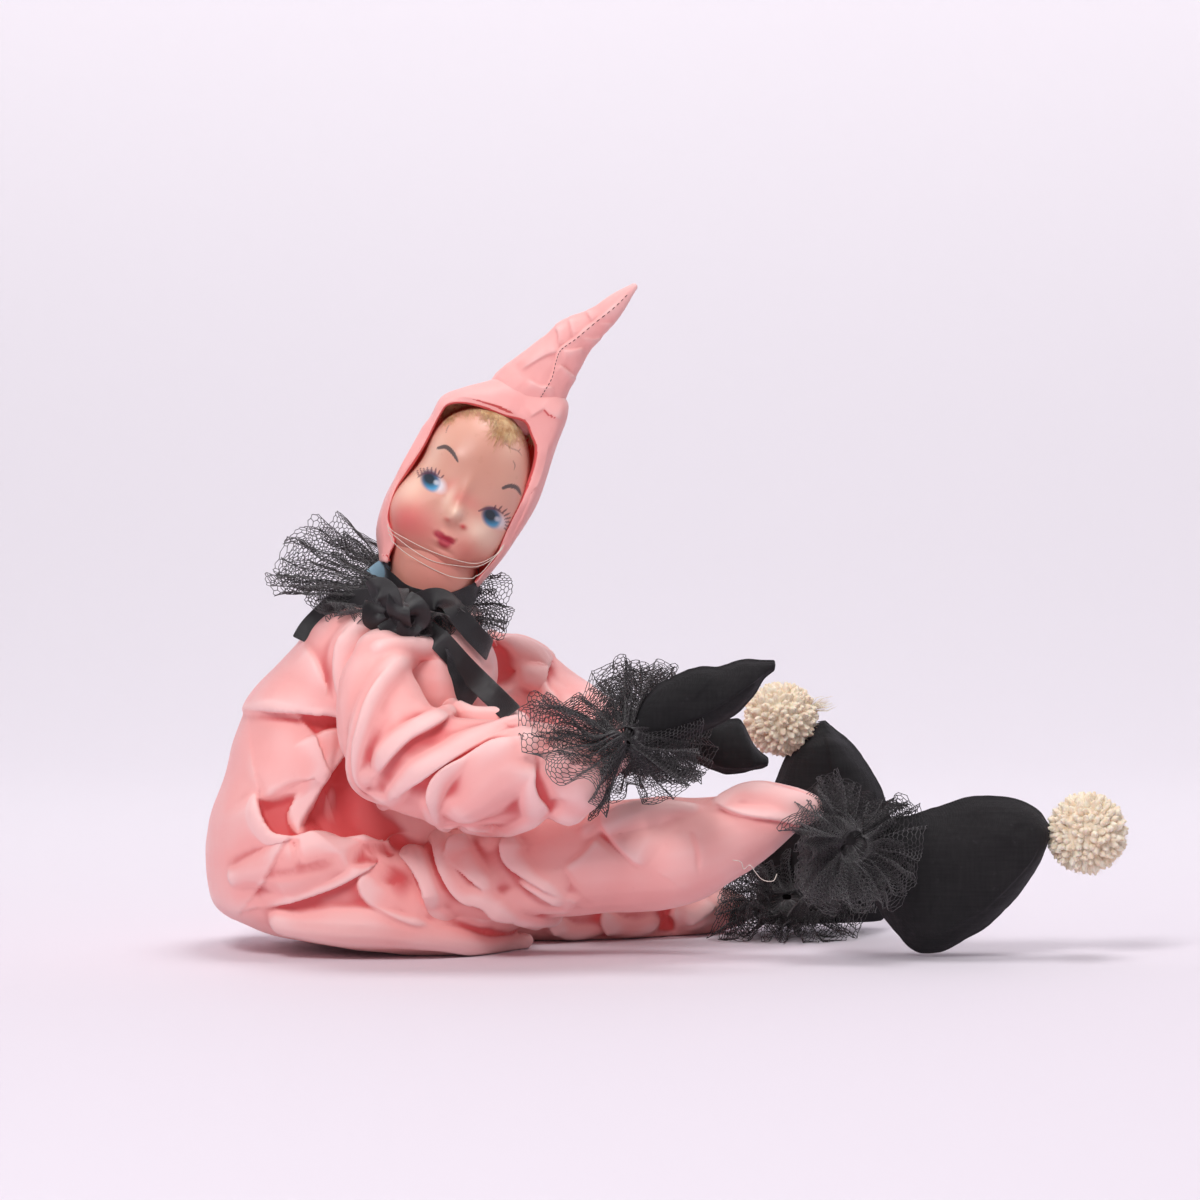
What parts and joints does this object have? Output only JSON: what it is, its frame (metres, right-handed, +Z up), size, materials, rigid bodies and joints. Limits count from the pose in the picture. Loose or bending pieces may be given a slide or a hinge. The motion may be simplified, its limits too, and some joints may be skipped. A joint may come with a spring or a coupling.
{
  "type": "knee hugger elf doll",
  "caption": "Sitting stuffed elf doll in a hooded satin suit, with a moulded face, net frills, felt mitts and boots, and jointed head and limbs.",
  "frame": {"origin": "on the floor, at the middle of the flat base of the seat", "axes": "+X the way the legs point, +Y the left-hand side of the doll, +Z up"},
  "size_m": [0.3987, 0.1882, 0.2825],
  "materials": {
    "pink_satin": "glossy woven satin, loosely stuffed",
    "black_net": "open hexagon net, gathered",
    "black_ribbon": "narrow satin ribbon",
    "black_felt": "soft wool-like felt, overcast by hand",
    "cream_yarn": "fluffy cut yarn",
    "skin_vinyl": "painted, lightly glossy moulded vinyl",
    "blond_hair": "short mohair fringe",
    "blue_cloth": "plain woven lining",
    "clear_thread": "clear nylon thread"
  },
  "bodies": {
    "torso": {"seat": "pink_satin", "chest": "pink_satin", "neck_stump": "blue_cloth", "ribbon_band": "black_ribbon", "neck_ruff": "black_net", "ribbon_knot": "black_ribbon", "ribbon_tail_back": "black_ribbon", "ribbon_tail_front": "black_ribbon", "ribbon_tail_long": "black_ribbon"},
    "head": {"head_shell": "skin_vinyl", "hood": "pink_satin", "hair_fringe": "blond_hair", "chin_thread_1": "clear_thread", "chin_thread_2": "clear_thread", "chin_thread_3": "clear_thread"},
    "peak": {"hood_peak": "pink_satin"},
    "right_upper_arm": {"right_upper_sleeve": "pink_satin"},
    "right_forearm": {"right_forearm_sleeve": "pink_satin", "right_wrist_ruffle": "black_net", "right_wrist_gather": "black_net"},
    "right_hand": {"right_mitt_back": "black_felt", "right_mitt_palm": "black_felt"},
    "right_upper_leg": {"right_thigh": "pink_satin"},
    "right_lower_leg": {"right_shin": "pink_satin", "right_ankle_ruffle": "black_net", "right_ankle_gather": "black_net"},
    "right_foot": {"right_boot_outer": "black_felt", "right_boot_inner": "black_felt", "right_pompom_tie": "black_felt"},
    "right_bobble": {"right_pompom": "cream_yarn"},
    "left_upper_arm": {"left_upper_sleeve": "pink_satin"},
    "left_forearm": {"left_forearm_sleeve": "pink_satin", "left_wrist_ruffle": "black_net", "left_wrist_gather": "black_net"},
    "left_hand": {"left_mitt_back": "black_felt", "left_mitt_palm": "black_felt"},
    "left_upper_leg": {"left_thigh": "pink_satin"},
    "left_lower_leg": {"left_shin": "pink_satin", "left_ankle_ruffle": "black_net", "left_ankle_gather": "black_net"},
    "left_foot": {"left_boot_outer": "black_felt", "left_boot_inner": "black_felt", "left_pompom_tie": "black_felt"},
    "left_bobble": {"left_pompom": "cream_yarn"}
  },
  "joints": [
    {"name": "neck_turn", "type": "hinge", "parent": "torso", "child": "head", "pos_m": [0.0265, -0.006, 0.1463], "axis": [0.1736, 0, 0.9848], "range_deg": [-25, 25]},
    {"name": "peak_bend", "type": "hinge", "parent": "head", "child": "peak", "pos_m": [0.06625, -0.00328, 0.24222], "axis": [0, 1, 0], "range_deg": [-15, 15]},
    {"name": "right_shoulder", "type": "hinge", "parent": "torso", "child": "right_upper_arm", "pos_m": [-0.00224, -0.045, 0.126], "axis": [0, -1, 0], "range_deg": [0, 25]},
    {"name": "right_elbow", "type": "hinge", "parent": "right_upper_arm", "child": "right_forearm", "pos_m": [0.01067, -0.06277, 0.07667], "axis": [-0.0557, -0.9439, 0.3254], "range_deg": [-6, 18]},
    {"name": "right_wrist", "type": "hinge", "parent": "right_forearm", "child": "right_hand", "pos_m": [0.1004, -0.0659, 0.08295], "axis": [0, -1, 0], "range_deg": [-15, 15]},
    {"name": "right_hip", "type": "hinge", "parent": "torso", "child": "right_upper_leg", "pos_m": [0.012, -0.026, 0.031], "axis": [0, 0, -1], "range_deg": [0, 10]},
    {"name": "right_knee", "type": "hinge", "parent": "right_upper_leg", "child": "right_lower_leg", "pos_m": [0.08368, -0.0285, 0.03728], "axis": [0.0175, 0.9998, 0], "range_deg": [0, 25]},
    {"name": "right_ankle", "type": "hinge", "parent": "right_lower_leg", "child": "right_foot", "pos_m": [0.2062, -0.03064, 0.048], "axis": [0.0175, 0.9998, 0], "range_deg": [-12, 12]},
    {"name": "right_pompom_swing", "type": "hinge", "parent": "right_foot", "child": "right_bobble", "pos_m": [0.29265, -0.03351, 0.05284], "axis": [0, -1, 0], "range_deg": [-12, 12]},
    {"name": "left_shoulder", "type": "hinge", "parent": "torso", "child": "left_upper_arm", "pos_m": [0.03924, 0.041, 0.118], "axis": [0, -1, 0], "range_deg": [0, 25]},
    {"name": "left_elbow", "type": "hinge", "parent": "left_upper_arm", "child": "left_forearm", "pos_m": [0.06778, 0.08668, 0.11423], "axis": [-0.279, 0.0955, -0.9555], "range_deg": [-6, 18]},
    {"name": "left_wrist", "type": "hinge", "parent": "left_forearm", "child": "left_hand", "pos_m": [0.11119, 0.02469, 0.09536], "axis": [0, -1, 0], "range_deg": [-15, 15]},
    {"name": "left_hip", "type": "hinge", "parent": "torso", "child": "left_upper_leg", "pos_m": [0.012, 0.026, 0.0275], "axis": [0, 0, 1], "range_deg": [0, 25]},
    {"name": "left_knee", "type": "hinge", "parent": "left_upper_leg", "child": "left_lower_leg", "pos_m": [0.08238, 0.04096, 0.02499], "axis": [-0.342, 0.9397, 0], "range_deg": [0, 25]},
    {"name": "left_ankle", "type": "hinge", "parent": "left_lower_leg", "child": "left_foot", "pos_m": [0.16857, 0.07233, 0.01777], "axis": [-0.342, 0.9397, 0], "range_deg": [-12, 12]},
    {"name": "left_pompom_swing", "type": "hinge", "parent": "left_foot", "child": "left_bobble", "pos_m": [0.19051, 0.07511, 0.09867], "axis": [0, -1, 0], "range_deg": [-12, 12]}
  ]
}
